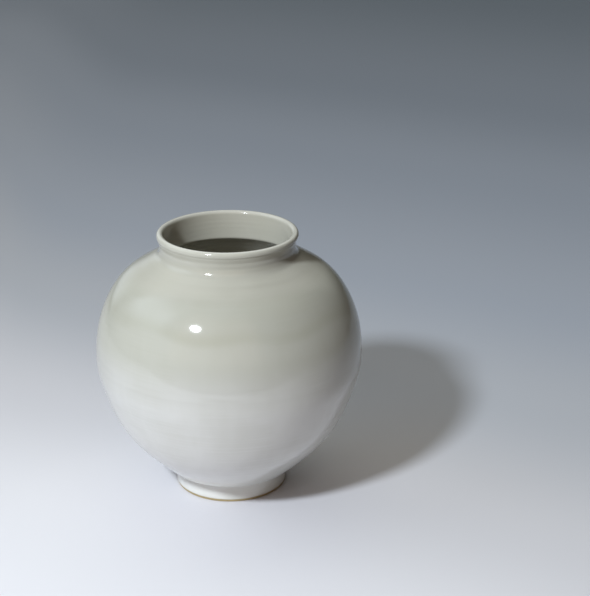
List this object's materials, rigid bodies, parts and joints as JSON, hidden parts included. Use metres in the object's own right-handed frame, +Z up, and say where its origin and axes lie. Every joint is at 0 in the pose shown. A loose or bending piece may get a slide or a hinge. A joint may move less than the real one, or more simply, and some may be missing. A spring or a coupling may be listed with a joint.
{
  "type": "moon jar",
  "caption": "Large round white porcelain storage jar of two joined bowls, with an upright neck, rounded lip and tall ring foot.",
  "frame": {"origin": "centre of the foot's contact ring, on the surface the jar stands on", "axes": "+Z up through the mouth, X and Y level, the jar is round about Z"},
  "size_m": [0.43, 0.43, 0.434],
  "materials": {
    "outer_glaze": "glossy, faintly grey-green white, with a slightly darker and greener band over the shoulder",
    "inner_glaze": "glossy, thinner and a little yellower than outside, over throwing rings",
    "body_clay": "fired white porcelain, covered by glaze",
    "foot_clay": "fired porcelain, matt, toasted ochre where it is bare",
    "slip": "fired joining slip, covered by glaze"
  },
  "bodies": {
    "root": {"foot_ring": "foot_clay", "foot_seam": "slip", "lower_bowl": "body_clay", "belly_seam": "slip", "upper_bowl": "body_clay", "neck_seam": "slip", "neck_collar": "body_clay", "outer_glaze": "outer_glaze", "inner_glaze": "inner_glaze", "foot_well_glaze": "inner_glaze"}
  },
  "joints": []
}
